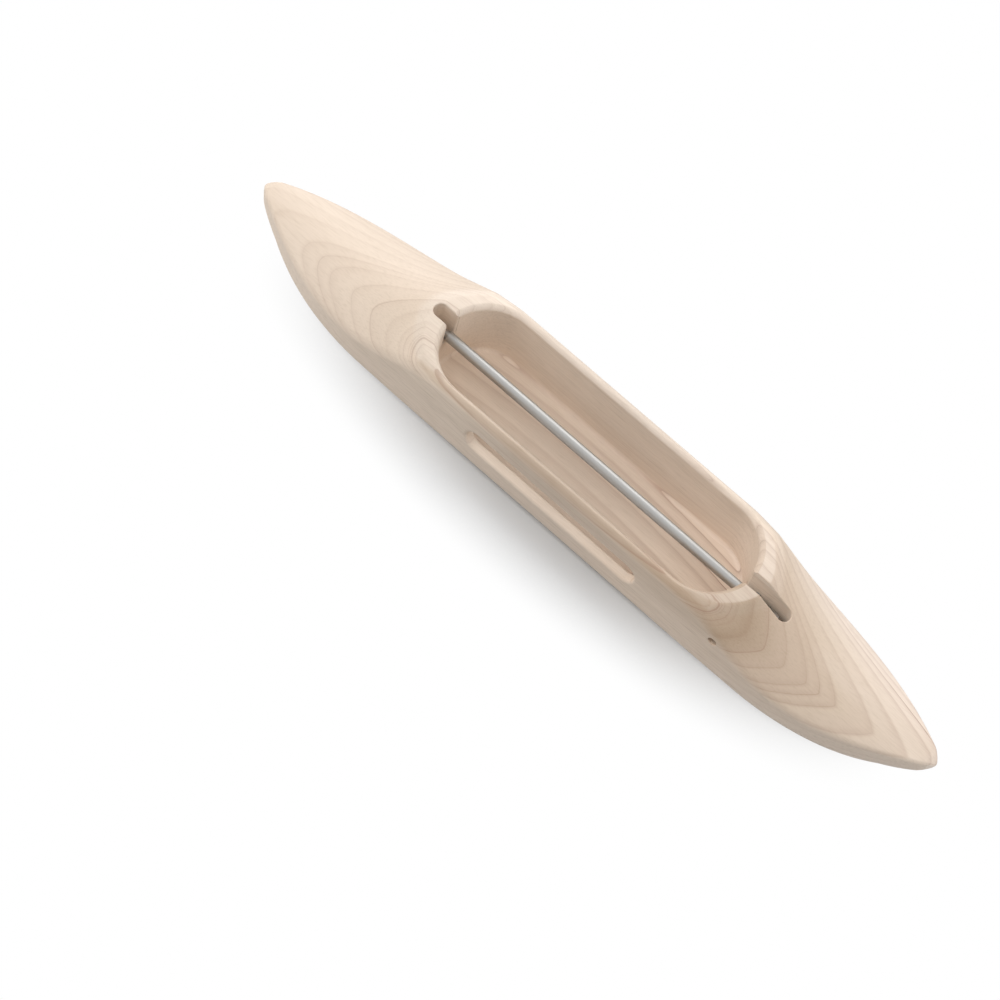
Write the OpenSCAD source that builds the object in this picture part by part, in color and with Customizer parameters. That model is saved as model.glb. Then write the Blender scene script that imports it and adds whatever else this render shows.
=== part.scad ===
// Boat shuttle for hand weaving: a hollowed hardwood hull with a steel bobbin shaft
// that tilts up out of the well. The hull lies along X with the shaft's pivot at the
// +X end, the yarn slot is in the -Y wall, and the origin is the middle of the flat bottom.

/* [Hull] */
// Length from tip to tip
shuttle_len = 280; // [268:1:300]
// Greatest width, along the well
body_w = 40.25; // [39:0.25:46]
// Height from the flat bottom to the flat top
body_h = 29; // [28:0.5:33]
// Rounding of the top edges along the well
shoulder_r = 3.5; // [3:0.25:6]
// Rounding of the bottom edges along the well
bilge_r = 4.25; // [3:0.25:7]

/* [Prows] */
// From the well's end to the crest, where the top starts to fall
crest_gap = 7; // [6:0.25:11]
// Fall of the top just past the crest, in degrees
prow_angle = 27.5; // [22:0.5:32]
// Distance over which the fall levels out
prow_ease = 23; // [20:1:30]
// Radius of the crowned top across the hull, at the crest
crown_r = 25.5; // [22:0.5:32]
// Radius of the crowned top at the tip
tip_crown_r = 22.5; // [16:0.5:28]
// From the well's end to where the sides start to draw in
taper_gap = 17.5; // [10:0.25:20]
// Fullness of the sides in plan
taper_power = 2; // [1.9:0.05:2.5]
// How far past the tip the two sides would meet
tip_overrun = 3.2; // [2.5:0.1:6]
// From the well's end to where the bottom starts to rise
keel_gap = 32.5; // [24:0.25:36]
// Fullness of the bottom in profile
keel_power = 3.4; // [2.4:0.1:4]
// Thickness of the tip
tip_t = 4.75; // [4:0.25:7]
// Length of the rounded nose
nose_len = 4; // [3:0.25:6]
// Rounding of the top edges at the crest
prow_shoulder_r = 6.5; // [5:0.5:10]
// Rounding of the top edges at the tip
tip_shoulder_r = 1.2; // [0.8:0.1:3]
// How soon they sharpen on the way to the tip, 1 being evenly
shoulder_power = 0.7; // [0.5:0.05:1.2]
// Rounding of the bottom edges at the tip
tip_bilge_r = 6.75; // [3:0.25:8]

/* [Well] */
// Length of the well, whose ends are half round
well_len = 122; // [116:0.5:126]
// Width of the well
well_w = 33; // [29:0.5:33.5]
// Thickness of the floor under the well
floor_t = 3.2; // [2.4:0.1:5]
// Rounding between floor and wall
cove_r = 1.5; // [1:0.1:3]
// Rounding of the well's top edge
rim_r = 1.5; // [0.8:0.1:2]

/* [Slots] */
// Width of the catch slot and the pivot slot
slot_w = 5; // [4.8:0.1:6]
// How far the catch slot reaches past the well's end
catch_reach = 7.4; // [6.5:0.05:10]
// How far the pivot slot reaches past the well's end
pivot_reach = 17.55; // [16.5:0.05:20]
// Length of the yarn slot
yarn_len = 69.5; // [50:0.5:80]
// Height of the yarn slot
yarn_h = 9; // [7:0.5:10]
// Height of the yarn slot's middle above the bottom
yarn_z = 15.1; // [14:0.1:17]
// Easing of the yarn slot's edges
yarn_ease = 0.8; // [0.4:0.1:1.2]

/* [Shaft] */
// Diameter of the shaft that holds the bobbin
shaft_d = 3.6; // [3:0.1:4]
// Depth of the shaft's axis below the flat top
shaft_drop = 10; // [8:0.1:12]
// How far the shaft's tip reaches into the catch slot
tip_reach = 3.5; // [2:0.05:5]
// Diameter of the tail behind the pivot slot's mouth
tail_d = 3.2; // [3:0.1:3.6]
// Length of the tail past the pivot
tail_len = 10; // [8:0.1:10.5]
// From the well's end to the pivot
pivot_gap = 4.75; // [4.5:0.05:7]
// How far the shaft tilts up, in degrees
tilt_max = 40; // [30:1:42]

/* [Pivot pin] */
// Diameter of the pivot pin
pin_d = 2; // [1.6:0.1:2.2]
// How deep the pin's near end lies below the hull's side
pin_recess = 2.5; // [1:0.25:4]
// How far the pin reaches past the pivot slot on the far side
pin_grip = 9.5; // [6:0.5:12]
// Gap between the pin and the shaft's cross hole, on the radius
pin_play = 0.05; // [0.02:0.01:0.09]

/* [Tail spring] */
// Thickness of the leaf spring under the tail
spring_t = 0.4; // [0.3:0.05:0.5]
// Width of the leaf spring
spring_w = 3.6; // [3:0.1:4]
// Length of the spring's flat foot
foot_len = 5; // [4.5:0.1:6]
// Diameter of the brad through the foot
brad_d = 1.2; // [0.8:0.1:1.4]
// Diameter of the brad's head
brad_head_d = 2.6; // [2:0.1:3]
// Thickness of the brad's head
brad_head_t = 0.5; // [0.3:0.1:0.8]
// Length of the brad in the wood
brad_len = 6; // [4:0.5:7]

/* [Hidden] */
$fn = 64;

wood = [0.87, 0.77, 0.66];
steel = [0.74, 0.74, 0.73];
pale_steel = [0.62, 0.63, 0.65];

// Places along X, measured from the middle
tip_x = shuttle_len / 2;
well_end = well_len / 2;
crest_x = well_end + crest_gap;
taper_x = well_end + taper_gap;
keel_x = well_end + keel_gap;
nose_x = tip_x - nose_len;
pivot_x = well_end + pivot_gap;

// Fall of the top past the crest, and the slope it starts with
prow_slope = tan(prow_angle);
prow_fall = prow_slope * prow_ease;

// Where the crown's curve leaves the sides, towards the middle from the crest
edge_x = crest_x - body_w * body_w / 8 / crown_r / prow_slope;
// Over this length the shoulder grows from the well's rounding to the prow's
blend_len = 15;
blend_x = edge_x - 6;

// Heights
shaft_z = body_h - shaft_drop;
catch_play = 0.2;
catch_floor = shaft_z - shaft_d / 2 - catch_play;
tail_play = 0.6;
tail_drop = tail_len * sin(tilt_max) + tail_d / 2 * cos(tilt_max);
pivot_floor = shaft_z - tail_drop - spring_t - tail_play;

// The loft runs past the flat top and bottom by these amounts, and is planed off there
top_spare = 4;
bottom_spare = 0.5;
// Cutters run past the surfaces they cut by this much
past = 4;
// Numbers of steps in the loft
crest_steps = 10;
prow_steps = 15;
nose_steps = 5;
bilge_steps = 4;
shoulder_steps = 6;
crown_steps = 6;

function share(v) = min(1, max(0, v));
function smooth(v) = v * v * (3 - 2 * v);
function mix(u, v, t) = u + (v - u) * t;
function from_well(a) = share((a - well_end) / (tip_x - well_end));

// Half the hull's width at the distance a from its middle
function half_w(a) =
    body_w / 2 * (1 - pow(share((a - taper_x) / (tip_x + tip_overrun - taper_x)), taper_power));

// Height of the crown's ridge, which would run on above the flat top inside the crest
function ridge_z(a) =
    a < crest_x ? body_h + prow_slope * (crest_x - a)
                : body_h - prow_fall * (1 - exp(-(a - crest_x) / prow_ease));

// Height of the bottom
function keel_z(a) =
    (ridge_z(tip_x) - tip_t) * pow(share((a - keel_x) / (tip_x - keel_x)), keel_power);
function keel_spare(a) = bottom_spare * (1 - share((a - keel_x) / 6));

// Crowned top: a parabola across the hull with the crown's radius at its ridge
function crown_radius(a) = mix(crown_r, tip_crown_r, share((a - crest_x) / (tip_x - crest_x)));
function crown_z(a, y) = ridge_z(a) - y * y / (2 * crown_radius(a));
function edge_t(a) = min(body_h, crown_z(a, half_w(a))) - keel_z(a);

// Rounding of the top edges, and the tilt of the crown where the rounding meets it
function prow_shoulder(a) = mix(prow_shoulder_r, tip_shoulder_r, pow(from_well(a), shoulder_power));
function shoulder(a) =
    min(mix(shoulder_r, prow_shoulder(a), smooth(share((a - blend_x) / blend_len))),
        0.95 * half_w(a), 0.7 * edge_t(a));
function crown_tilt(a, r, passes = 5) =
    passes == 0 ? 0 : atan((half_w(a) - r + r * sin(crown_tilt(a, r, passes - 1))) / crown_radius(a));
function shoulder_z(a, r, tilt) = crown_z(a, half_w(a) - r + r * sin(tilt)) - r * cos(tilt);

// Half the hull's width at the height z of its rounded top edge
function side_y(a, z) =
    let (r = shoulder(a), arc_z = min(body_h - r, shoulder_z(a, r, crown_tilt(a, r))))
    half_w(a) - r + sqrt(r * r - pow(max(0, z - arc_z), 2));

// Rounding of the bottom edges
function bilge(a, side_z) =
    min(mix(bilge_r, tip_bilge_r, from_well(a)), 0.7 * half_w(a), 0.95 * (side_z - keel_z(a)));

// One half of the hull's section at a, from the middle of the bottom to the middle of the top
least_tilt = 6;
function half_ring(a) =
    let (b = half_w(a), r = shoulder(a), tilt = crown_tilt(a, r),
         crowned = shoulder_z(a, r, tilt) < body_h - r,
         arc_z = crowned ? shoulder_z(a, r, tilt) : body_h - r,
         arc_end = 90 - (crowned ? tilt : least_tilt),
         rb = bilge(a, arc_z), low = keel_z(a),
         top_y = b - r + r * cos(arc_end))
    concat(
        [[0, low - keel_spare(a)]],
        [for (i = [0 : bilge_steps]) let (t = mix(least_tilt, 90, i / bilge_steps))
            [b - rb + rb * sin(t), low + rb - rb * cos(t)]],
        [for (i = [0 : shoulder_steps]) let (t = arc_end * i / shoulder_steps)
            [b - r + r * cos(t), arc_z + r * sin(t)]],
        [for (i = [1 : crown_steps]) let (y = top_y * (1 - i / crown_steps))
            [y, min(body_h + top_spare, crown_z(a, y))]]);

// The nose draws every section in towards its own middle
function nose_scale(a) = sqrt(1 - pow(share((a - nose_x) / nose_len), 2));
function ring(x) =
    let (a = abs(x), half = half_ring(a), last = len(half) - 1,
         mid = (ridge_z(a) + keel_z(a)) / 2, k = nose_scale(a))
    [for (i = [0 : 2 * last - 1])
        let (p = i <= last ? half[i] : half[2 * last - i], side = i <= last ? 1 : -1)
        [x, side * k * p[0], mid + (a < nose_x ? 1 : k) * (p[1] - mid)]];

stations = concat(
    [for (i = [0 : crest_steps - 1]) mix(blend_x, taper_x, i / crest_steps)],
    [for (i = [0 : prow_steps - 1]) mix(taper_x, nose_x, i / prow_steps)],
    [for (i = [0 : nose_steps]) nose_x + nose_len * sin(86 * i / nose_steps)]);
loft_x = concat([for (i = [len(stations) - 1 : -1 : 0]) -stations[i]], stations);

// A solid through a row of closed sections, ended in a point at each tip
module loft(rings, first_tip, last_tip) {
    n = len(rings[0]);
    rows = len(rings);
    points = concat([for (r = rings) each r], [first_tip, last_tip]);
    skin = [for (i = [0 : rows - 2], j = [0 : n - 1]) each
        let (p = i * n + j, q = i * n + (j + 1) % n)
        [[p, q, p + n], [q, q + n, p + n]]];
    start = [for (j = [0 : n - 1]) [rows * n, (j + 1) % n, j]];
    end = [for (j = [0 : n - 1]) let (p = (rows - 1) * n) [rows * n + 1, p + j, p + (j + 1) % n]];
    polyhedron(points, concat(skin, start, end), convexity = 6);
}

function reversed(v) = [for (i = [len(v) - 1 : -1 : 0]) v[i]];

// Outline points of a hole's eased edge, from its wall at r out to the face it opens on;
// the last of the three straight steps runs on past the face
function eased(r, e, face, out) = concat(
    [for (t = [0 : 30 : 60]) [r + e * (1 - cos(t)), face - out * e * (1 - sin(t))]],
    [[r + 2.5 * e, face + out * 0.4 * e]]);

// Outline points of the cove between a flat floor and a wall at r
function cove(r, c, floor_z) =
    [for (t = [0 : 30 : 90]) [r - c * (1 - sin(t)), floor_z + c * (1 - cos(t))]];

// A long hole with half round ends: the outline (distance from the middle line, depth)
// is carried along the straight part and turned round each end
module long_hole(length, width, outline) {
    straight = length / 2 - width / 2;
    rotate([90, 0, 90])
        translate([0, 0, -straight])
            linear_extrude(2 * straight)
                polygon(concat(outline, [for (p = reversed(outline)) [-p[0], p[1]]]));
    for (side = [-1, 1])
        translate([side * straight, 0, 0])
            rotate([0, 0, -side * 90])
                rotate_extrude(angle = 180)
                    polygon(concat([[0, outline[0][1]]], outline, [[0, outline[len(outline) - 1][1]]]));
}

// The well: flat floor, small cove, upright wall and eased rim
module well() {
    r = well_w / 2;
    long_hole(well_len, well_w, concat(
        cove(r, cove_r, floor_t),
        eased(r, rim_r, body_h, 1),
        [[r + 2.5 * rim_r, body_h + past]]));
}

// A slot open at the top, from inside the well to its round end
module end_slot(reach, floor_z) {
    r = slot_w / 2;
    translate([0, 0, floor_z])
        linear_extrude(body_h - floor_z + past) {
            translate([well_end - well_w / 4, -r])
                square([well_w / 4 + reach - r, slot_w]);
            translate([well_end + reach - r, 0])
                circle(r);
        }
}

// The yarn slot through the -Y wall, eased at both faces
module yarn_slot() {
    r = yarn_h / 2;
    inner = well_w / 2;
    outer = body_w / 2;
    translate([0, 0, yarn_z])
        rotate([90, 0, 0])
            long_hole(yarn_len, yarn_h, concat(
                [[r + 2.5 * yarn_ease, inner - past]],
                reversed(eased(r, yarn_ease, inner, -1)),
                eased(r, yarn_ease, outer, 1),
                [[r + 2.5 * yarn_ease, outer + past]]));
}

// Hardwood hull, one piece of wood shaped all over
module body() {
    color(wood)
    difference() {
        intersection() {
            loft([for (x = loft_x) ring(x)],
                 [-tip_x, 0, (ridge_z(tip_x) + keel_z(tip_x)) / 2],
                 [tip_x, 0, (ridge_z(tip_x) + keel_z(tip_x)) / 2]);
            translate([-tip_x - past, -body_w / 2 - past, 0])
                cube([shuttle_len + 2 * past, body_w + 2 * past, body_h]);
        }
        well();
        end_slot(pivot_reach, pivot_floor);
        mirror([1, 0, 0])
            end_slot(catch_reach, catch_floor);
        yarn_slot();
        // Blind bore for the pivot pin, drilled from the near side
        translate([pivot_x, pin_end, shaft_z])
            rotate([90, 0, 0])
                cylinder(h = pin_end + body_w / 2 + past, d = pin_d);
        // Pilot hole for the spring's brad
        translate([brad_x, 0, pivot_floor - brad_len])
            cylinder(h = brad_len + past, d = brad_d);
    }
}

// Steel shaft with a tapered tip, a turned down tail and a cross hole for the pin
tip_flat_r = 0.9;
chamfer = 0.4;
shaft_start = -well_end - tip_reach;
shaft_end = pivot_x + tail_len;
// The full diameter runs from just inside one end of the well to just past the other
full_start = -well_end + 0.25;
full_end = well_end + 0.5;
module shaft() {
    r = shaft_d / 2;
    color(steel)
    difference() {
        translate([0, 0, shaft_z])
            rotate([90, 0, 90])
                rotate_extrude()
                    polygon([[0, shaft_start], [tip_flat_r, shaft_start],
                             [r, full_start], [r, full_end],
                             [tail_d / 2, full_end], [tail_d / 2, shaft_end - chamfer],
                             [tail_d / 2 - chamfer, shaft_end], [0, shaft_end]]);
        translate([pivot_x, 0, shaft_z])
            rotate([90, 0, 0])
                cylinder(h = 2 * shaft_d, d = pin_d + 2 * pin_play, center = true);
    }
}

// Steel pin pressed into the hull through the shaft's cross hole
pin_end = slot_w / 2 + pin_grip;
module pivot_pin() {
    near_end = side_y(pivot_x, shaft_z) - pin_recess;
    color(steel)
        translate([pivot_x, pin_end, shaft_z])
            rotate([90, 0, 0])
                cylinder(h = pin_end + near_end, d = pin_d);
}

// Spring steel leaf: a foot on the slot's floor, a rise to a crest under the tail,
// and a short curl down at its free end
foot_x = well_end + 1.25;
brad_x = foot_x + foot_len / 2;
spring_gap = 0.25;
crest_rise = shaft_z - tail_d / 2 - spring_gap - pivot_floor - spring_t;
crest_back = 1.4;
rise_len = shaft_end - crest_back - foot_x - foot_len;
curl_len = 1.8;
curl_drop = 1.2;
leaf_steps = 12;
rise_x = foot_x + foot_len;
function leaf_line() = concat(
    [[foot_x, 0]],
    [for (i = [0 : leaf_steps]) [rise_x + rise_len * i / leaf_steps, crest_rise * smooth(i / leaf_steps)]],
    [for (i = [1 : 3]) let (t = i / 3) [rise_x + rise_len + curl_len * t, crest_rise - curl_drop * t * t]]);
module tail_spring() {
    line = leaf_line();
    last = len(line) - 1;
    function normal(i) =
        let (p = line[max(0, i - 1)], q = line[min(last, i + 1)], d = (q - p) / norm(q - p))
        [-d[1], d[0]];
    color(pale_steel)
    difference() {
        translate([0, spring_w / 2, pivot_floor])
            rotate([90, 0, 0])
                linear_extrude(spring_w)
                    polygon(concat(line, [for (i = [last : -1 : 0]) line[i] + spring_t * normal(i)]));
        translate([brad_x, 0, pivot_floor - past])
            cylinder(h = 2 * past, d = brad_d + 2 * brad_play);
    }
}

// Small brad that holds the spring's foot down
brad_play = 0.05;
module spring_brad() {
    color(pale_steel)
    translate([brad_x, 0, pivot_floor]) {
        translate([0, 0, -brad_len])
            cylinder(h = brad_len + spring_t, d = brad_d);
        translate([0, 0, spring_t])
            cylinder(h = brad_head_t, d = brad_head_d);
    }
}

body();
shaft();
pivot_pin();
tail_spring();
spring_brad();
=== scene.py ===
# A hand weaver's boat shuttle in pale maple, lying on a white table.
# Shapes are worked out in millimetres and go into the meshes in metres.
import math

import bpy
import numpy as np
from mathutils import Matrix, Vector


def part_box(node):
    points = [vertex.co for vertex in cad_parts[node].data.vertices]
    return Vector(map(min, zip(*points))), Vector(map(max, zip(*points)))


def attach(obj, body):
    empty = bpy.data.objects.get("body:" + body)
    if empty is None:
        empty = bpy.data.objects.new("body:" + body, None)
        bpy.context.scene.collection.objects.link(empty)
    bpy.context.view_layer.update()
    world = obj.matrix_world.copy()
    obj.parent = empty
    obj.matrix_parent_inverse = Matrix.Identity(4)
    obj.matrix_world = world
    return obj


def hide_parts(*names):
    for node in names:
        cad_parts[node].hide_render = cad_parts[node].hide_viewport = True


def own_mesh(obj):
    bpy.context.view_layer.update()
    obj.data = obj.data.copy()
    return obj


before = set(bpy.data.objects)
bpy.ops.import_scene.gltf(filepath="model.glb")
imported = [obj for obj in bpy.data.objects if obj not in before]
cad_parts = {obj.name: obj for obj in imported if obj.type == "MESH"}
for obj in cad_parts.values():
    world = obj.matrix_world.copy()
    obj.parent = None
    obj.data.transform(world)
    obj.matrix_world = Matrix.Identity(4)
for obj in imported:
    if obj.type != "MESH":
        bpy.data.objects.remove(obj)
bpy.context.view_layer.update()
scene = bpy.context.scene

# Camera: a long lens above the near side of the shuttle, rolled so that the length
# runs from the upper left of the picture to the lower right.
CAMERA_AT = Vector((0.16963, -0.42236, 0.82946))
LOOK_RIGHT = Vector((0.73766, 0.65766, 0.15279))
LOOK_DOWN = Vector((0.64577, -0.62117, -0.44399))
camera_data = bpy.data.cameras.new("camera")
camera_data.sensor_width = 36.0
camera_data.lens = 108.0
camera = bpy.data.objects.new("camera", camera_data)
camera_axes = Matrix((LOOK_RIGHT, -LOOK_DOWN, -LOOK_RIGHT.cross(LOOK_DOWN))).transposed()
camera.matrix_world = Matrix.Translation(CAMERA_AT) @ camera_axes.to_4x4()
scene.collection.objects.link(camera)
scene.camera = camera

# Hull: one piece of hard maple, bandsawn to its outline, routed out for the bobbin and
# sanded to a crowned, sharp-nosed boat shape.
LENGTH, WIDTH, HEIGHT = 280.0, 40.25, 29.0
WELL_LENGTH, WELL_WIDTH, FLOOR = 122.0, 33.0, 3.2
WELL_END, TIP = WELL_LENGTH / 2, LENGTH / 2
CREST = WELL_END + 7.0
FALL, EASE = math.tan(math.radians(27.5)), 23.0
CROWN, TIP_CROWN = 25.5, 22.5
TAPER, OVERRUN, TAPER_POWER = WELL_END + 17.5, 3.2, 2.0
KEEL, KEEL_POWER = WELL_END + 32.5, 3.4
TIP_THICKNESS, NOSE = 4.75, 4.0
SHOULDER, PROW_SHOULDER, TIP_SHOULDER, SHOULDER_POWER = 3.5, 6.5, 1.2, 0.7
BILGE, TIP_BILGE = 4.25, 6.75
CROWN_EDGE = CREST - WIDTH**2 / (8.0 * CROWN * FALL)
BLEND_FROM, BLEND_OVER = CROWN_EDGE - 6.0, 15.0
TILT_FROM, TILT_OVER = CROWN_EDGE + 3.0, 7.0


def share(value):
    return np.clip(value, 0.0, 1.0)


def smooth(value):
    return value * value * (3.0 - 2.0 * value)


def blend_low(u, v, width):
    """The lower of u and v, with the corner between them rounded over the given width."""
    near = share(0.5 + 0.5 * (v - u) / width)
    return v + (u - v) * near - width * near * (1.0 - near)


def half_width(a):
    """Half the hull's width: full along the well, then a power curve to the tip."""
    return WIDTH / 2 * (1.0 - share((a - TAPER) / (TIP + OVERRUN - TAPER)) ** TAPER_POWER)


def ridge(a):
    """Height of the crown's ridge: falls at a slope past the crest and eases out to level."""
    out = np.maximum(a - CREST, 0.0)
    inside = np.maximum(CREST - a, 0.0)
    return HEIGHT + FALL * inside - FALL * EASE * (1.0 - np.exp(-out / EASE))


def keel(a):
    """Height of the bottom: flat, then a power curve up to the tip."""
    top = HEIGHT - FALL * EASE * (1.0 - math.exp(-(TIP - CREST) / EASE))
    return (top - TIP_THICKNESS) * share((a - KEEL) / (TIP - KEEL)) ** KEEL_POWER


def crown_radius(a):
    """Radius of the crown at its ridge, changing evenly from the crest to the tip."""
    return CROWN + (TIP_CROWN - CROWN) * share((a - CREST) / (TIP - CREST))


def crowned(a, y):
    """The top without its rounded edges: a parabola across, cut off softly by the flat top."""
    return blend_low(ridge(a) - y * y / (2.0 * crown_radius(a)), np.full_like(a + y, HEIGHT), 0.5)


def from_well(a):
    return share((a - WELL_END) / (TIP - WELL_END))


def shoulder(a):
    """Radius of the rounded top edge: small along the well, large at the crest, sharp at the tip."""
    grown = PROW_SHOULDER + (TIP_SHOULDER - PROW_SHOULDER) * from_well(a) ** SHOULDER_POWER
    radius = SHOULDER + (grown - SHOULDER) * smooth(share((a - BLEND_FROM) / BLEND_OVER))
    thickness = np.minimum(HEIGHT, crowned(a, half_width(a))) - keel(a)
    return np.minimum(np.minimum(radius, 0.95 * half_width(a)), 0.7 * thickness)


def shoulder_seat(a):
    """Centre height of the shoulder's arc, where it touches the top from below, and the tilt
    there: the crown's slope where they meet, which fades out where the flat top takes over."""
    b, r = half_width(a), shoulder(a)
    tilt = np.zeros_like(a)
    for _ in range(8):
        tilt = np.arctan((b - r + r * np.sin(tilt)) / crown_radius(a))
    touch = b - r + r * np.sin(tilt)
    under_crown = ridge(a) - touch**2 / (2.0 * crown_radius(a)) - r * np.cos(tilt)
    seat = blend_low(under_crown, HEIGHT - r, 0.6)
    return seat, tilt * smooth(share((a - TILT_FROM) / TILT_OVER))


def crown_skin(a, y, b, r, seat, tilt):
    """The crown from the shoulder's arc inwards, drawn down to meet the arc's end."""
    edge_y, edge_z = b - r + r * np.sin(tilt), seat + r * np.cos(tilt)
    gap = crowned(a, edge_y) - edge_z
    return crowned(a + 0.0 * y, y) - gap * np.exp(-(((edge_y - y) / 1.5) ** 2))


def top_height(x, y):
    """Height of the hull's finished top at any place on it."""
    a, side = np.abs(x), np.abs(y)
    b, r = half_width(a), shoulder(a)
    seat, tilt = shoulder_seat(a)
    out = side - (b - r)
    arc = seat + np.sqrt(np.maximum(r * r - out * out, 0.0))
    return np.where(out > r * np.sin(tilt), arc, crown_skin(a, side, b, r, seat, tilt))


def make_piece(name, points, faces, material=None):
    """A mesh object from an array of points in millimetres and a list of faces."""
    mesh = bpy.data.meshes.new(name)
    mesh.from_pydata((np.asarray(points) * 0.001).tolist(), [], faces)
    mesh.validate()
    piece = bpy.data.objects.new(name, mesh)
    scene.collection.objects.link(piece)
    if material:
        mesh.materials.append(material)
    return piece


def rings_to_faces(rows, columns):
    """Quads between neighbouring closed rings of points, as an array of point numbers."""
    i, j = np.meshgrid(np.arange(rows - 1), np.arange(columns), indexing="ij")
    k = (j + 1) % columns
    quads = np.stack([i * columns + j, i * columns + k, (i + 1) * columns + k, (i + 1) * columns + j], -1)
    return quads.reshape(-1, 4)


def hull_rings(x):
    """Closed sections of the hull at each x: bottom, bilge arc, side, shoulder arc and crown."""
    a = np.abs(x)
    b, r, low = half_width(a), shoulder(a), keel(a)
    seat, tilt = shoulder_seat(a)
    bilge = BILGE + (TIP_BILGE - BILGE) * from_well(a)
    bilge = np.minimum(np.minimum(bilge, 0.7 * b), 0.95 * (seat - low))
    flat = np.linspace(0.0, 1.0, 8, endpoint=False)[:, None]
    bottom = np.stack([flat * (b - bilge), low + 0.0 * flat], -1)
    bend = np.radians(np.linspace(0.0, 90.0, 12))[:, None]
    bilge_arc = np.stack([b - bilge + bilge * np.sin(bend), low + bilge * (1.0 - np.cos(bend))], -1)
    rise = np.linspace(0.0, 1.0, 8)[1:-1, None]
    side = np.stack([b + 0.0 * rise, low + bilge + rise * (seat - low - bilge)], -1)
    bend = np.linspace(0.0, 1.0, 18)[:, None] * (math.pi / 2 - tilt)
    arc = np.stack([b - r + r * np.cos(bend), seat + r * np.sin(bend)], -1)
    crown_y = arc[-1, :, 0] * (1.0 - np.linspace(0.0, 1.0, 25))[1:, None]
    crown = np.stack([crown_y, crown_skin(a, crown_y, b, r, seat, tilt)], -1)
    half = np.concatenate([bottom, bilge_arc, side, arc, crown])
    other = half[-2:0:-1] * np.array([-1.0, 1.0])
    ring = np.concatenate([half, other])
    middle = (ridge(a) * (a > CREST) + HEIGHT * (a <= CREST) + low) / 2
    pull = np.sqrt(1.0 - share((a - (TIP - NOSE)) / NOSE) ** 2)
    ring[:, :, 0] *= pull
    ring[:, :, 1] = middle + (ring[:, :, 1] - middle) * pull
    x_all = np.broadcast_to(x, ring.shape[:2])
    return np.concatenate([x_all[..., None], ring], -1).transpose(1, 0, 2)


nose_bend = np.radians(np.linspace(0.0, 87.0, 14)[1:])
one_end = np.concatenate([
    np.linspace(0.0, 45.0, 10, endpoint=False),
    np.linspace(45.0, 80.0, 78, endpoint=False),
    np.linspace(80.0, TIP - NOSE, 76),
    TIP - NOSE + NOSE * np.sin(nose_bend),
])
stations = np.concatenate([-one_end[:0:-1], one_end])
rings = hull_rings(stations)
ring_count, ring_size = rings.shape[:2]
nose_z = float(rings[-1, :, 2].mean())
points = np.concatenate([rings.reshape(-1, 3), [[-TIP, 0.0, nose_z], [TIP, 0.0, nose_z]]])
loop = np.arange(ring_size)
after = (loop + 1) % ring_size
last_ring = ring_size * (ring_count - 1)
first_cap = np.stack([loop, after, np.full(ring_size, len(points) - 2)], -1)
last_cap = np.stack([last_ring + after, last_ring + loop, np.full(ring_size, len(points) - 1)], -1)
faces = rings_to_faces(ring_count, ring_size)[:, ::-1].tolist() + first_cap.tolist() + last_cap.tolist()
hull = make_piece("maple_hull", points, faces)


def cutter_from_levels(name, levels):
    """A closed cutter through a stack of closed outlines, capped at both ends."""
    count, size = levels.shape[:2]
    quads = rings_to_faces(count, size).tolist()
    bottom_cap = list(range(size))[::-1]
    top_cap = list(range((count - 1) * size, count * size))
    return make_piece(name, levels.reshape(-1, 3), quads + [bottom_cap, top_cap])


def cut_out(piece, cutters):
    """Takes the cutters out of a piece, keeps the finished mesh and deletes the cutters."""
    for cutter in cutters:
        cut = piece.modifiers.new(cutter.name, "BOOLEAN")
        cut.operation = "DIFFERENCE"
        cut.solver = "EXACT"
        cut.object = cutter
    graph = bpy.context.evaluated_depsgraph_get()
    finished = bpy.data.meshes.new_from_object(piece.evaluated_get(graph))
    piece.modifiers.clear()
    piece.data = finished
    for cutter in cutters:
        bpy.data.objects.remove(cutter)


def stadium(straight, radius, steps_round=48, steps_straight=60):
    """Outline of a long hole with half round ends, anticlockwise, and its outward directions."""
    t = np.radians(np.linspace(-90.0, 90.0, steps_round))
    s = np.linspace(1.0, -1.0, steps_straight + 2)[1:-1]
    right = np.stack([straight + 0.0 * t, 0.0 * t], -1)
    upper = np.stack([straight * s, 0.0 * s], -1)
    out_right = np.stack([np.cos(t), np.sin(t)], -1)
    out_upper = np.stack([0.0 * s, 1.0 + 0.0 * s], -1)
    base = np.concatenate([right, upper, -right, -upper])
    out = np.concatenate([out_right, out_upper, -out_right, -out_upper])
    return base + radius * out, out


def drop(q, power=2.0):
    """Depth of an eased edge below its face at the share q from the wall: round at power 2, a bevel at 1."""
    return 1.0 - (1.0 - (1.0 - q) ** power) ** (1.0 / power)


WELL_COVE, WELL_RIM, PAST = 1.6, 1.7, 6.0
outline, outward = stadium(WELL_END - WELL_WIDTH / 2, WELL_WIDTH / 2)
levels = []
for t in np.radians(np.linspace(6.0, 90.0, 7)):
    ring = outline - outward * WELL_COVE * (1.0 - np.sin(t))
    levels.append(np.column_stack([ring, np.full(len(ring), FLOOR + WELL_COVE * (1.0 - np.cos(t)))]))
for q in (0.0, 0.02, 0.06, 0.13, 0.22, 0.34, 0.48, 0.64, 0.8, 0.94):
    ring = outline + outward * WELL_RIM * q
    levels.append(np.column_stack([ring, top_height(ring[:, 0], ring[:, 1]) - WELL_RIM * drop(q, 1.5)]))
levels.append(np.column_stack([ring, np.full(len(ring), HEIGHT + PAST)]))
levels[0][:, 2] = FLOOR
cutters = [cutter_from_levels("well_cutter", np.array(levels))]

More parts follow.
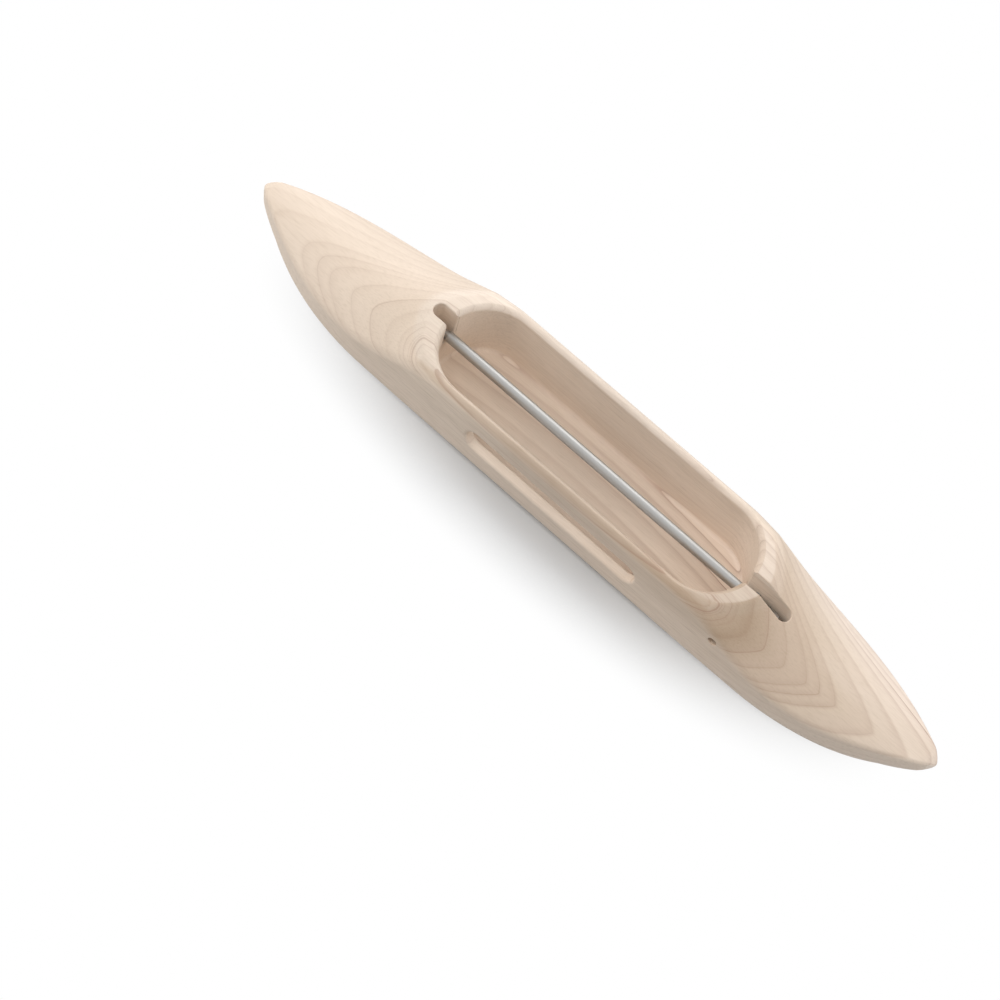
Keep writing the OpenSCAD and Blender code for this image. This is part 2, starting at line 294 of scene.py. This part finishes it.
SLOT_WIDTH, SLOT_EDGE, MOUTH_EDGE = 5.0, 0.45, 0.8
SHAFT_HEIGHT, CATCH_DEPTH = 19.0, 2.0
PIVOT_REACH, CATCH_REACH = 17.55, 7.4


def slot_levels(reach, floor, side):
    """Outlines of an end slot: eased mouth corners, straight sides, round end, eased top edge."""
    half = SLOT_WIDTH / 2
    wall = WELL_END - WELL_WIDTH / 2 + math.sqrt((WELL_WIDTH / 2) ** 2 - half**2)
    t = np.radians(np.linspace(0.0, 90.0, 9))
    across = np.column_stack([np.cos(t), np.sin(t)])
    start = np.array([[wall - 5.0, -half - MOUTH_EDGE], [wall - 0.5, -half - MOUTH_EDGE]])
    mouth = np.array([wall + MOUTH_EDGE, -half - MOUTH_EDGE]) + MOUTH_EDGE * across * [-1.0, 1.0]
    run = np.linspace(wall + MOUTH_EDGE, WELL_END + reach - half, 14)[1:-1]
    side_line = np.column_stack([run, np.full(len(run), -half)])
    lower = np.concatenate([start, mouth, side_line])
    lower_out = np.concatenate([np.zeros((2, 2)), across * [1.0, -1.0], np.tile([0.0, -1.0], (len(run), 1))])
    t = np.radians(np.linspace(-90.0, 90.0, 25))
    end_out = np.column_stack([np.cos(t), np.sin(t)])
    end = np.array([WELL_END + reach - half, 0.0]) + half * end_out
    plan = np.concatenate([lower, end, (lower * [1.0, -1.0])[::-1]])
    out = np.concatenate([lower_out, end_out, (lower_out * [1.0, -1.0])[::-1]])
    stack = [np.column_stack([plan, np.full(len(plan), floor)])]
    for q in (0.0, 0.03, 0.1, 0.22, 0.4, 0.64, 0.92):
        ring = plan + out * SLOT_EDGE * q
        stack.append(np.column_stack([ring, top_height(ring[:, 0], ring[:, 1]) - SLOT_EDGE * drop(q)]))
    stack.append(np.column_stack([ring, np.full(len(ring), HEIGHT + PAST)]))
    stack = np.array(stack)
    return stack if side > 0 else (stack * [-1.0, 1.0, 1.0])[:, ::-1]


slot_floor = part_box("tail_spring")[0].z * 1000.0
cutters.append(cutter_from_levels("pivot_slot_cutter", slot_levels(PIVOT_REACH, slot_floor, 1)))
cutters.append(cutter_from_levels("catch_slot_cutter", slot_levels(CATCH_REACH, SHAFT_HEIGHT - CATCH_DEPTH, -1)))

YARN_LENGTH, YARN_HEIGHT, YARN_MIDDLE, YARN_EDGE = 69.5, 9.0, 15.1, 0.9
outline, outward = stadium(YARN_LENGTH / 2 - YARN_HEIGHT / 2, YARN_HEIGHT / 2, 24, 40)
shares = (0.0, 0.03, 0.1, 0.22, 0.4, 0.64, 0.94)
faces_at = [(q, WELL_WIDTH / 2 + YARN_EDGE * drop(q)) for q in shares[::-1]]
faces_at += [(q, WIDTH / 2 - YARN_EDGE * drop(q)) for q in shares]
faces_at = [(0.94, WELL_WIDTH / 2 - PAST)] + faces_at + [(0.94, WIDTH / 2 + PAST)]
levels = []
for q, depth in faces_at:
    ring = outline + outward * YARN_EDGE * q
    levels.append(np.column_stack([ring[:, 0], np.full(len(ring), -depth), YARN_MIDDLE + ring[:, 1]]))
cutters.append(cutter_from_levels("yarn_slot_cutter", np.array(levels)))


def round_hole(x, z, radius, face_y, far_y):
    """Outlines of a round hole along Y, reamed wider at the near side, where its edge is eased."""
    t = np.linspace(0.0, 2.0 * math.pi, 40, endpoint=False)
    steps = [(far_y, radius), (face_y + PIN_MOUTH + 0.3, radius), (face_y + PIN_MOUTH, radius + PIN_REAM)]
    steps += [(face_y + PIN_EDGE * drop(q), radius + PIN_REAM + PIN_EDGE * q) for q in (0.0, 0.1, 0.3, 0.6, 0.95)]
    outlines = [np.column_stack([x + r * np.cos(t), np.full(40, y), z + r * np.sin(t)]) for y, r in steps]
    outlines.append(outlines[-1] - [0.0, PAST, 0.0])
    return np.array(outlines)


PIN_EDGE, PIN_REAM, PIN_MOUTH = 0.25, 0.5, 2.4
low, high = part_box("pivot_pin")
pin_x, pin_z, pin_r = (low.x + high.x) * 500.0, (low.z + high.z) * 500.0, (high.x - low.x) * 500.0
near_face = -float(half_width(np.array([pin_x]))[0])
cutters.append(cutter_from_levels("pin_bore_cutter", round_hole(pin_x, pin_z, pin_r, near_face, high.y * 1000.0)))
cut_out(hull, cutters)
hull.data.shade_smooth()
hull.data.set_sharp_from_angle(angle=math.radians(38.0))

# Maple: a board whose heart lies far above the near edge and rises in a bow towards both
# tips, so its yearly rings show as loops on the prows and fine lines along the sides. The
# rings bend sharply where they cross a plane through the heart.
HEART_Y, HEART_Z = -75.6, 190.0
HEART_SWAY, HEART_BOW, TAPER_OF_TREE = 1.4, 9.5, 1.55
BEND_LEAN, BEND_STEEPNESS, NEAREST_WOOD = 0.344, 0.255, 165.0
# Places of the rings, in millimetres further from the heart than the nearest wood
RINGS = np.array([9.0, 10.2, 11.3, 12.2, 12.6, 13.2, 14.3, 15.5, 18.6, 21.8, 25.0, 27.8, 29.4, 31.2, 35.0, 38.4,
                  42.3, 44.6, 46.8, 49.2, 51.6, 54.0, 56.5])
REACH_OF_RINGS, WIDEST_RING, CURVE_STEP = 60.0, 4.2, 0.2
WOOD, RING_LINE = (0.725, 0.609, 0.505), (0.36, 0.22, 0.155)
# How light the wood is at each distance from the heart, in millimetres
LIGHTNESS = ((6.0, 0.79), (12.0, 0.81), (18.0, 0.88), (24.0, 0.98), (30.0, 1.0), (37.0, 1.0), (46.0, 1.05))
BROWNING = (0.9, 1.0, 1.15)
maple = bpy.data.materials.new("maple")
maple.use_nodes = True
nodes, links = maple.node_tree.nodes, maple.node_tree.links
surface = nodes["Principled BSDF"]


def add_node(kind, **settings):
    made = nodes.new(kind)
    for key, value in settings.items():
        setattr(made, key, value)
    return made


def plug_in(node, values):
    """Puts numbers on a node's sockets and wires in the outputs of other nodes."""
    for socket, value in values.items():
        if isinstance(value, bpy.types.NodeSocket):
            links.new(value, node.inputs[socket])
        else:
            node.inputs[socket].default_value = value


def reckon(operation, *values):
    made = add_node("ShaderNodeMath", operation=operation)
    plug_in(made, dict(enumerate(values)))
    return made.outputs[0]


def figure(x, y, z, detail=3.0, roughness=0.5):
    """Noise with so many features a metre along each axis."""
    stretch = add_node("ShaderNodeMapping")
    plug_in(stretch, {"Vector": place, "Scale": (x, y, z)})
    made = add_node("ShaderNodeTexNoise")
    plug_in(made, {"Vector": stretch.outputs[0], "Scale": 1.0, "Detail": detail, "Roughness": roughness})
    return made.outputs["Fac"]


def tones(value, stops):
    made = add_node("ShaderNodeValToRGB")
    marks = made.color_ramp.elements
    while len(marks) < len(stops):
        marks.new(0.5)
    for mark, (position, color) in zip(marks, stops):
        mark.position = position
        mark.color = (*color, 1.0) if isinstance(color, tuple) else (color, color, color, 1.0)
    links.new(value, made.inputs["Fac"])
    return made.outputs["Color"]


def laid_over(blend, factor, below, above):
    made = add_node("ShaderNodeMix", data_type="RGBA", blend_type=blend)
    plug_in(made, {"Factor": factor, "A": below, "B": above})
    return made.outputs["Result"]


place = add_node("ShaderNodeTexCoord").outputs["Object"]
in_mm = add_node("ShaderNodeMapping")
plug_in(in_mm, {"Vector": place, "Scale": (1000.0, 1000.0, 1000.0)})
apart = add_node("ShaderNodeSeparateXYZ")
plug_in(apart, {0: in_mm.outputs[0]})
x_mm, y_mm, z_mm = apart.outputs
along = reckon("MULTIPLY", x_mm, 0.01)
bow = reckon("MULTIPLY", along, along)
off_y = reckon("SUBTRACT", y_mm, reckon("MULTIPLY_ADD", bow, HEART_SWAY, HEART_Y))
off_z = reckon("SUBTRACT", z_mm, reckon("MULTIPLY_ADD", bow, HEART_BOW, HEART_Z))
off = reckon("SQRT", reckon("ADD", reckon("MULTIPLY", off_y, off_y), reckon("MULTIPLY", off_z, off_z)))
across_bend = reckon("MULTIPLY_ADD", off_y, math.cos(BEND_LEAN), reckon("MULTIPLY", off_z, math.sin(BEND_LEAN)))
bend_round = reckon("MULTIPLY_ADD", along, -2.0, 2.4)
bend_round = reckon("MULTIPLY", bend_round, bend_round)
bend_rise = reckon("SQRT", reckon("MULTIPLY_ADD", across_bend, across_bend, bend_round))
off = reckon("MULTIPLY_ADD", bend_rise, BEND_STEEPNESS, off)
off = reckon("SUBTRACT", reckon("MULTIPLY_ADD", along, TAPER_OF_TREE, off), NEAREST_WOOD)
wander = reckon("MULTIPLY_ADD", figure(9.0, 30.0, 30.0, 2.0), 0.9, -0.45)
ripple = reckon("MULTIPLY_ADD", figure(120.0, 260.0, 260.0, 2.0), 0.3, -0.15)
from_heart = reckon("ADD", off, reckon("ADD", wander, ripple))
from_heart_share = reckon("DIVIDE", from_heart, REACH_OF_RINGS)

# The curve gives the distance out to the next ring's edge, so it saws up and down
to_edge = add_node("ShaderNodeFloatCurve")
curve = to_edge.mapping.curves[0]
edge_marks = [(0.0, 0.9)]
for ring, width in zip(RINGS, np.diff(np.append(RINGS, REACH_OF_RINGS))):
    edge_marks += [(ring / REACH_OF_RINGS, 0.0), ((ring + CURVE_STEP) / REACH_OF_RINGS, width / WIDEST_RING)]
while len(curve.points) < len(edge_marks):
    curve.points.new(0.5, 0.5)
for mark, position in zip(curve.points, edge_marks):
    mark.location = position
    mark.handle_type = "VECTOR"
to_edge.mapping.update()
plug_in(to_edge, {"Value": from_heart_share})
late_wood = tones(to_edge.outputs[0], [(0.0, 1.0), (0.035, 0.9), (0.07, 0.3), (0.3, 0.11), (0.9, 0.0)])
fade = tones(figure(16.0, 60.0, 60.0, 2.0), [(0.3, 0.55), (0.65, 1.0)])
facing = add_node("ShaderNodeSeparateXYZ")
plug_in(facing, {0: add_node("ShaderNodeTexCoord").outputs["Normal"]})
sawn_face = add_node("ShaderNodeMapRange", interpolation_type="SMOOTHSTEP")
plug_in(sawn_face, {"Value": reckon("ABSOLUTE", facing.outputs[2]), "From Min": 0.1, "From Max": 0.6,
                    "To Min": 0.4, "To Max": 1.0})
line_strength = reckon("MULTIPLY", reckon("MULTIPLY", late_wood, fade), sawn_face.outputs[0])
line_strength = reckon("MULTIPLY", line_strength, reckon("MULTIPLY_ADD", along, 0.25, 0.75))
on_floor = add_node("ShaderNodeMapRange")
plug_in(on_floor, {"Value": z_mm, "From Min": 4.0, "From Max": 8.0, "To Min": 0.5, "To Max": 0.0})
in_well = reckon("LESS_THAN", reckon("ABSOLUTE", y_mm), WELL_WIDTH / 2)
clearer = reckon("MULTIPLY_ADD", on_floor.outputs[0], in_well, 1.0)
line_strength = reckon("MINIMUM", reckon("MULTIPLY", line_strength, clearer), 1.0)

by_age = tones(from_heart_share, [
    (mm / REACH_OF_RINGS, tuple(c * light**power for c, power in zip(WOOD, BROWNING))) for mm, light in LIGHTNESS])
fibre = figure(150.0, 2800.0, 2800.0, 3.0, 0.6)
cloud = figure(11.0, 50.0, 50.0, 3.0)
pores = figure(110.0, 1700.0, 1700.0, 1.0)
color = laid_over("MULTIPLY", 1.0, by_age, tones(cloud, [(0.3, (1.02, 1.02, 1.02)), (0.7, (0.97, 0.965, 0.955))]))
color = laid_over("MULTIPLY", 1.0, color, tones(fibre, [(0.3, (0.92, 0.91, 0.89)), (0.5, 1.0), (0.7, 1.03)]))
upright = reckon("MULTIPLY_ADD", sawn_face.outputs[0], -1.5, 1.5)
color = laid_over("MULTIPLY", upright, color, tones(pores, [(0.28, (0.90, 0.90, 0.89)), (0.45, 1.0)]))
# Painted light and shade along the length: paler over the left end from x = -60 mm outwards and around x = +35 to +60
# mm, a little darker in the middle.
light_and_shade_along = tones(reckon("MULTIPLY_ADD", along, 0.5, 0.5), [
    (0.2, (1.05, 1.05, 1.045)), (0.5, (0.98, 0.98, 0.98)), (0.68, (1.08, 1.08, 1.08)), (0.8, (1.06, 1.06, 1.06)),
    (0.9, 1.0)])
color = laid_over("MULTIPLY", 1.0, color, light_and_shade_along)
# Tone of the right half's sloping faces, full from x = 65 mm, by distance from the heart: darker and warmer near the
# heart and lighter far from it, weaker on flat tops. This is partly the prow's warmer heart wood and partly painted
# shade on the near slopes and painted light on the far ones.
warm_wood_and_shade = tones(from_heart_share, [(0.14, (0.90, 0.85, 0.79)), (0.23, (0.80, 0.74, 0.67)), (0.3, (0.67, 0.60, 0.52)),
                                    (0.4, (0.83, 0.78, 0.73)), (0.52, (0.90, 0.87, 0.83)), (0.66, (1.04, 1.045, 1.05)),
                                    (0.76, (1.11, 1.13, 1.17))])
warm_and_shade_share = add_node("ShaderNodeMapRange")
plug_in(warm_and_shade_share, {"Value": along, "From Min": 0.1, "From Max": 0.65})
sloping = add_node("ShaderNodeMapRange")
plug_in(sloping, {"Value": facing.outputs[2], "From Min": 0.975, "From Max": 0.998, "To Min": 1.0, "To Max": 0.3})
warm_and_shade_share = reckon("MULTIPLY", reckon("MULTIPLY", warm_and_shade_share.outputs[0], sawn_face.outputs[0]), sloping.outputs[0])
color = laid_over("MULTIPLY", warm_and_shade_share, color, warm_wood_and_shade)
# Painted light and shade on the hull's top above about 27 mm, rim edges included: darker on the near side, lighter on
# the far side, brightest along the far rim.
on_rim = add_node("ShaderNodeMapRange")
plug_in(on_rim, {"Value": z_mm, "From Min": 26.6, "From Max": 27.6})
rim_light_and_shade = tones(reckon("MULTIPLY_ADD", y_mm, 0.025, 0.5), [
    (0.0, (0.87, 0.84, 0.80)), (0.05, (0.89, 0.87, 0.84)), (0.08, (1.0, 1.03, 1.06)), (0.5, (1.06, 1.09, 1.13)),
    (0.92, (1.15, 1.18, 1.22)), (1.0, (1.03, 1.06, 1.09))])
color = laid_over("MULTIPLY", on_rim.outputs[0], color, rim_light_and_shade)
# Painted light: the wood nearest the heart, along the near rim and side, made paler on the left half, most from x =
# -64 to -44 mm.
near_heart = add_node("ShaderNodeMapRange")
plug_in(near_heart, {"Value": from_heart_share, "From Min": 0.18, "From Max": 0.34, "To Min": 1.0, "To Max": 0.0})
left_painted_light = tones(reckon("MULTIPLY_ADD", along, 0.5, 0.5), [
    (0.02, 1.0), (0.12, (1.07, 1.08, 1.09)), (0.18, (1.22, 1.25, 1.28)), (0.28, (1.22, 1.25, 1.28)), (0.42, 1.0)])
color = laid_over("MULTIPLY", near_heart.outputs[0], color, left_painted_light)
# Painted light: the walls of the pivot slot, which lie in shade, made paler and cooler.
slot_painted_light = reckon("MULTIPLY", reckon("LESS_THAN", reckon("ABSOLUTE", y_mm), SLOT_WIDTH / 2 + 0.05),
                 reckon("GREATER_THAN", x_mm, WELL_END))
slot_painted_light = reckon("MULTIPLY", slot_painted_light, reckon("LESS_THAN", facing.outputs[2], 0.3))
color = laid_over("MULTIPLY", slot_painted_light, color, (1.1, 1.14, 1.18, 1.0))
color = laid_over("MIX", line_strength, color, (*RING_LINE, 1.0))
bump = add_node("ShaderNodeBump")
plug_in(bump, {"Strength": 0.25, "Distance": 0.00005, "Height": fibre})
gloss = add_node("ShaderNodeMapRange")
plug_in(gloss, {"Value": fibre, "From Min": 0.3, "From Max": 0.7, "To Min": 0.56, "To Max": 0.46})
plug_in(surface, {"Base Color": color, "Roughness": gloss.outputs[0], "Specular IOR Level": 0.35, "Normal": bump.outputs[0]})
hull.data.materials.clear()
hull.data.materials.append(maple)
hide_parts("body")
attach(hull, "hull")

# Shaft, pivot pin and brad: drawn steel rod. The shaft is ground and tapers at its tip,
# the pin is pressed into the hull across the slot, and the brad holds the spring's foot.


def drawn_steel(name, color, roughness):
    """Bare steel with fine lengthwise scratches in its gloss."""
    made = bpy.data.materials.new(name)
    made.use_nodes = True
    tree = made.node_tree
    shader = tree.nodes["Principled BSDF"]
    shader.inputs["Base Color"].default_value = (*color, 1.0)
    shader.inputs["Metallic"].default_value = 1.0
    coords = tree.nodes.new("ShaderNodeTexCoord")
    stretch = tree.nodes.new("ShaderNodeMapping")
    stretch.inputs["Scale"].default_value = (150.0, 2500.0, 2500.0)
    scratches = tree.nodes.new("ShaderNodeTexNoise")
    scratches.inputs["Scale"].default_value = 1.0
    scratches.inputs["Detail"].default_value = 3.0
    spread = tree.nodes.new("ShaderNodeMapRange")
    spread.inputs["To Min"].default_value = roughness - 0.06
    spread.inputs["To Max"].default_value = roughness + 0.1
    tree.links.new(coords.outputs["Object"], stretch.inputs["Vector"])
    tree.links.new(stretch.outputs["Vector"], scratches.inputs["Vector"])
    tree.links.new(scratches.outputs["Fac"], spread.inputs["Value"])
    tree.links.new(spread.outputs["Result"], shader.inputs["Roughness"])
    return made


ground_steel = drawn_steel("ground_steel", (0.465, 0.46, 0.447), 0.5)
bright_steel = drawn_steel("bright_steel", (0.55, 0.55, 0.55), 0.35)
for name, metal in (("shaft", ground_steel), ("pivot_pin", ground_steel), ("spring_brad", bright_steel)):
    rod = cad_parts[name]
    rod.data.materials.clear()
    rod.data.materials.append(metal)
    rod.data.shade_smooth()
    rod.data.set_sharp_from_angle(angle=math.radians(30.0))

# Tail spring: a leaf of blued spring steel under the shaft's tail. Its flat foot is held by
# the brad and it rises to a crest under the tail; it is drawn at rest.
LEAF_WIDTH, LEAF_THICKNESS, LEAF_CORNER = 3.6, 0.4, 0.12
low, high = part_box("tail_spring")
FOOT_X, FOOT_LENGTH = low.x * 1000.0, 5.0
SHAFT_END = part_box("shaft")[1].x * 1000.0
CREST_BACK, CURL_LENGTH, CURL_DROP = 1.4, 1.8, 1.2
RISE_LENGTH = SHAFT_END - CREST_BACK - FOOT_X - FOOT_LENGTH
CREST_RISE = (high.z - low.z) * 1000.0 - LEAF_THICKNESS


def leaf_line(t):
    """The leaf's underside: a level foot, a smooth rise to the crest and a curl down, t from 0 to 3."""
    foot, rise, curl = share(t), share(t - 1.0), share(t - 2.0)
    x = FOOT_X + FOOT_LENGTH * foot + RISE_LENGTH * rise + CURL_LENGTH * curl
    return np.column_stack([x, slot_floor + CREST_RISE * smooth(rise) - CURL_DROP * curl**2])


t = np.concatenate([np.linspace(0.0, 1.0, 6, endpoint=False), np.linspace(1.0, 2.0, 30, endpoint=False), np.linspace(2.0, 3.0, 8)])
line = leaf_line(t)
lean = np.gradient(line[:, 1]) / np.gradient(line[:, 0])
upward = np.column_stack([-lean, np.ones_like(lean)]) / np.sqrt(1.0 + lean**2)[:, None]
bend = np.radians(np.linspace(0.0, 90.0, 4))
quarter = LEAF_CORNER * np.column_stack([np.cos(bend), np.sin(bend)])
half_y, half_t = LEAF_WIDTH / 2 - LEAF_CORNER, LEAF_THICKNESS / 2 - LEAF_CORNER
corners = [quarter + [half_y, half_t], quarter[::-1] * [-1, 1] + [-half_y, half_t],
           -quarter - [half_y, half_t], quarter[::-1] * [1, -1] + [half_y, -half_t]]
section = np.concatenate(corners)
lift = section[:, 1] + LEAF_THICKNESS / 2
leaf_x = line[:, 0, None] + upward[:, 0, None] * lift
leaf_z = line[:, 1, None] + upward[:, 1, None] * lift
leaf_y = np.broadcast_to(section[:, 0], leaf_x.shape)
leaf = cutter_from_levels("leaf_spring", np.stack([leaf_x, leaf_y, leaf_z], -1))
leaf_steel = drawn_steel("leaf_steel", (0.55, 0.56, 0.58), 0.4)
leaf.data.materials.append(leaf_steel)
leaf.data.shade_smooth()
leaf.data.set_sharp_from_angle(angle=math.radians(40.0))
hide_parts("tail_spring")
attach(leaf, "hull")
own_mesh(leaf)

# Table and light: a white table, grey round the shuttle as painted shade over its real shadow, fading into white;
# three soft lights round the shuttle, one more overhead on the near side, and a pale room.
TABLE_REACH = 3000.0
SHADE_LINE_Y, SHADE_FROM, SHADE_TO = -0.006, 0.014, 0.040
table = make_piece("table", [[-TABLE_REACH, -TABLE_REACH, 0], [TABLE_REACH, -TABLE_REACH, 0],
                             [TABLE_REACH, TABLE_REACH, 0], [-TABLE_REACH, TABLE_REACH, 0]], [[0, 1, 2, 3]])
white = bpy.data.materials.new("white_table")
white.use_nodes = True
nodes, links = white.node_tree.nodes, white.node_tree.links
surface = nodes["Principled BSDF"]
# The grey colour shows only round the shuttle, where it adds painted shade to the table's real shadow; further out the
# camera sees plain white.
plug_in(surface, {"Base Color": (0.6, 0.6, 0.6, 1.0), "Roughness": 0.9, "Specular IOR Level": 0.1})
place = add_node("ShaderNodeTexCoord").outputs["Object"]
apart = add_node("ShaderNodeSeparateXYZ")
plug_in(apart, {0: place})
past_middle = reckon("MULTIPLY", apart.outputs[0], 0.30)
off_line = reckon("SUBTRACT", apart.outputs[1], SHADE_LINE_Y)
from_hull = reckon("SQRT", reckon("ADD", reckon("MULTIPLY", past_middle, past_middle), reckon("MULTIPLY", off_line, off_line)))
whiteness = add_node("ShaderNodeMapRange", interpolation_type="SMOOTHSTEP")
plug_in(whiteness, {"Value": from_hull, "From Min": SHADE_FROM, "From Max": SHADE_TO, "To Min": 0.0, "To Max": 1.0})
paths = add_node("ShaderNodeLightPath")
seen = reckon("MAXIMUM", paths.outputs["Is Camera Ray"], paths.outputs["Is Transmission Ray"])
seen = reckon("MAXIMUM", seen, paths.outputs["Is Glossy Ray"])
plain_white = add_node("ShaderNodeEmission")
mixed = add_node("ShaderNodeMixShader")
plug_in(mixed, {0: reckon("MULTIPLY", seen, whiteness.outputs[0]), 1: surface.outputs[0], 2: plain_white.outputs[0]})
plug_in(nodes["Material Output"], {"Surface": mixed.outputs[0]})
table.data.materials.append(white)

world = bpy.data.worlds.new("room")
scene.world = world
world.use_nodes = True
nodes, links = world.node_tree.nodes, world.node_tree.links
paths = add_node("ShaderNodeLightPath")
seen = reckon("MAXIMUM", paths.outputs["Is Camera Ray"], paths.outputs["Is Transmission Ray"])
seen = reckon("MAXIMUM", seen, paths.outputs["Is Glossy Ray"])
strength = add_node("ShaderNodeMapRange")
plug_in(strength, {"Value": seen, "To Min": 0.13, "To Max": 1.0})
plug_in(nodes["Background"], {"Color": (1.0, 1.0, 1.0, 1.0), "Strength": strength.outputs[0]})


def soft_light(name, at, size, watts, mirrored=False):
    """A round lamp that points at the middle of the shuttle, and shows in the steel if mirrored."""
    data = bpy.data.lights.new(name, "AREA")
    data.shape = "DISK"
    data.size = size
    data.energy = watts
    lamp = bpy.data.objects.new(name, data)
    lamp.location = at
    lamp.rotation_euler = (-Vector(at)).to_track_quat("-Z", "Y").to_euler()
    lamp.visible_glossy = mirrored
    scene.collection.objects.link(lamp)


soft_light("far_left_box", (-0.48, 1.02, 0.65), 1.2, 9.6, mirrored=True)
soft_light("left_box", (-1.06, -0.38, 0.65), 1.2, 8.4)
soft_light("right_box", (1.06, 0.37, 0.65), 1.2, 7.6)
soft_light("top_box", (0.0, -0.49, 1.2), 1.0, 7.6)
scene.view_settings.view_transform = "Standard"
